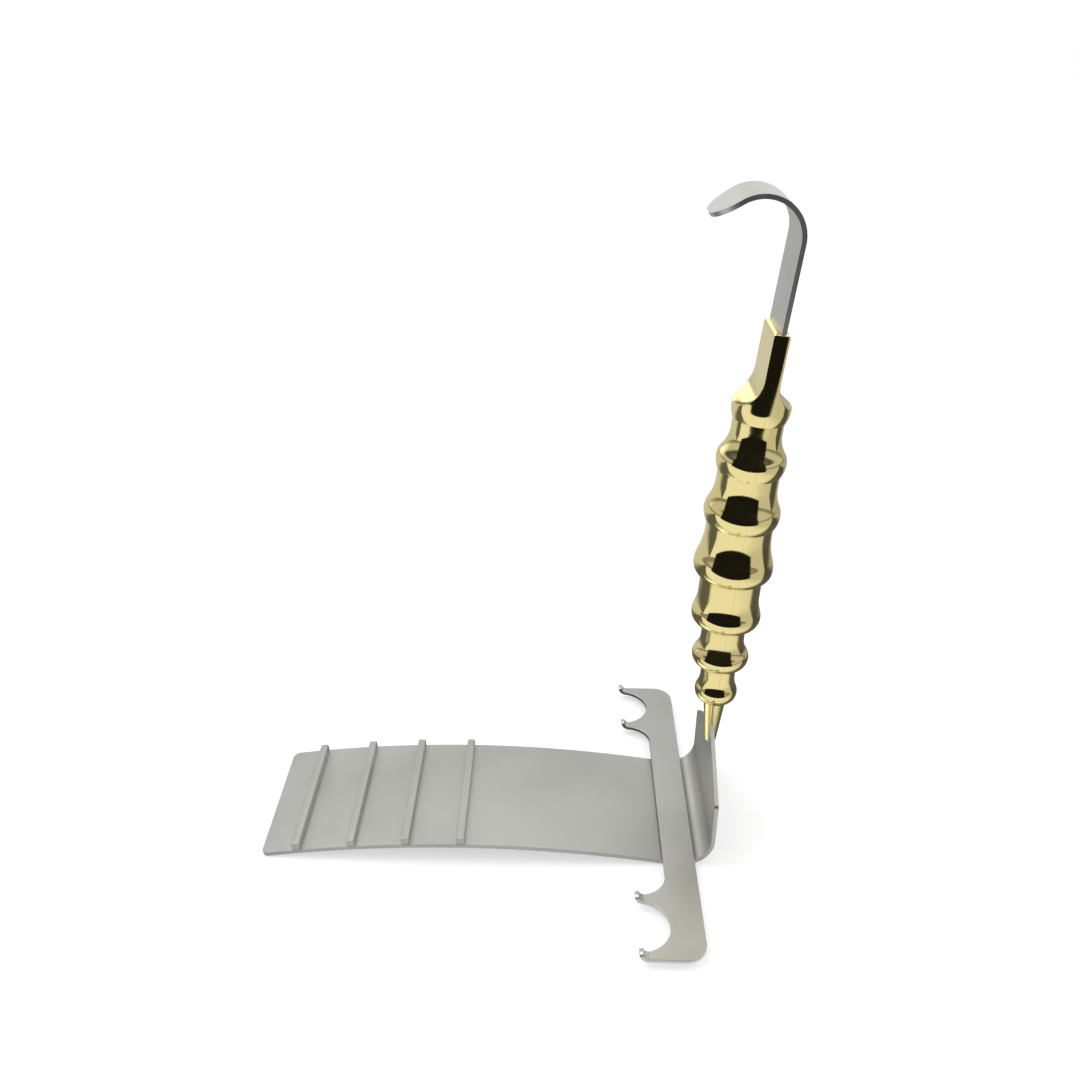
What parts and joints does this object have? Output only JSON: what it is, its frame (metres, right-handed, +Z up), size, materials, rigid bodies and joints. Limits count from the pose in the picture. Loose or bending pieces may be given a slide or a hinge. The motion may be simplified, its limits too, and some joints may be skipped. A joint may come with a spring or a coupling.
{
  "type": "abdominal retractor",
  "caption": "Hand-held abdominal retractor: ribbed arched blade with a turned-up heel, forked cross bar, ringed handle and flat end hook.",
  "frame": {"origin": "middle of the heel's flat land, in the plane the instrument rests on", "axes": "+X from the blade's tip towards the heel, +Y across the blade, +Z up along the handle towards the end hook"},
  "size_m": [0.1876, 0.158, 0.2439],
  "materials": {
    "steel": "satin, evenly blasted, with polished thin edges",
    "gilt": "gold plated, mirror polished"
  },
  "bodies": {
    "root": {"blade": "steel", "rib_1": "steel", "rib_2": "steel", "rib_3": "steel", "rib_4": "steel", "cross_bar": "steel", "handle_front_shell": "gilt", "handle_back_shell": "gilt", "end_hook": "steel"}
  },
  "joints": []
}
